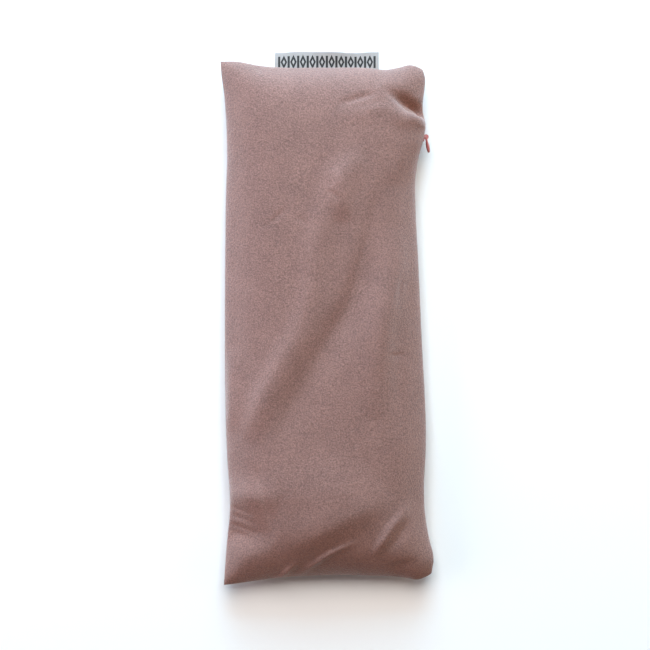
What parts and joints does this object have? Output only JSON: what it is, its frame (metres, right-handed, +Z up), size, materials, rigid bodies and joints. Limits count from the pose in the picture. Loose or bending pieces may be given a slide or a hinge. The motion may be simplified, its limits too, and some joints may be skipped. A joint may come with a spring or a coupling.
{
  "type": "eye pillow",
  "caption": "Oblong velvet eye pillow: a zipped cover round a loose cotton bag of flaxseed and lavender, with a folded ribbon label at one end.",
  "frame": {"origin": "under the middle of the pillow, on the surface that it lies on", "axes": "+Z up out of the surface, +Y along the pillow towards the label, +X across it towards the zip"},
  "size_m": [0.1011, 0.2543, 0.026],
  "materials": {
    "velvet": "dusty rose velvet with a soft, dense pile",
    "cover_thread": "twisted polyester thread",
    "label_ribbon": "silver-grey woven satin",
    "zip_tape": "coral woven tape",
    "zip_coil": "coral nylon coil",
    "zip_metal": "coral enamel on zinc",
    "zip_thread": "twisted polyester thread",
    "insert_cotton": "unbleached plain-weave cotton",
    "insert_thread": "cotton thread",
    "flaxseed": "glossy brown seeds",
    "lavender": "dry buds"
  },
  "bodies": {
    "cover": {"cover_front_panel": "velvet", "cover_back_panel": "velvet", "cover_seam_thread": "cover_thread", "label_sewn_end": "label_ribbon", "zip_tape_front": "zip_tape", "zip_tape_back": "zip_tape", "zip_coil_front": "zip_coil", "zip_coil_back": "zip_coil", "zip_top_stops": "zip_metal", "zip_bottom_stop": "zip_metal", "zip_thread_front": "zip_thread", "zip_thread_back": "zip_thread", "insert_front_panel": "insert_cotton", "insert_back_panel": "insert_cotton", "insert_seam_thread": "insert_thread", "insert_closing_stitches": "insert_thread", "flaxseed_filling": "flaxseed", "lavender_buds": "lavender"},
    "slider": {"zip_slider": "zip_metal"},
    "pull": {"zip_pull": "zip_metal"},
    "label": {"label_flap": "label_ribbon"}
  },
  "joints": [
    {"name": "zip_slide", "type": "slide", "parent": "cover", "child": "slider", "axis": [0, -1, 0], "range_m": [0, 0.17]},
    {"name": "pull_swing", "type": "hinge", "parent": "slider", "child": "pull", "pos_m": [0.04865, 0.0889, 0.01], "axis": [0, 0, 1], "range_deg": [-12, 155]},
    {"name": "label_flip", "type": "hinge", "parent": "cover", "child": "label", "pos_m": [0, 0.1233, 0.01], "axis": [1, 0, 0], "range_deg": [-80, 85], "stiffness_Nm_per_rad": 0.0002}
  ]
}
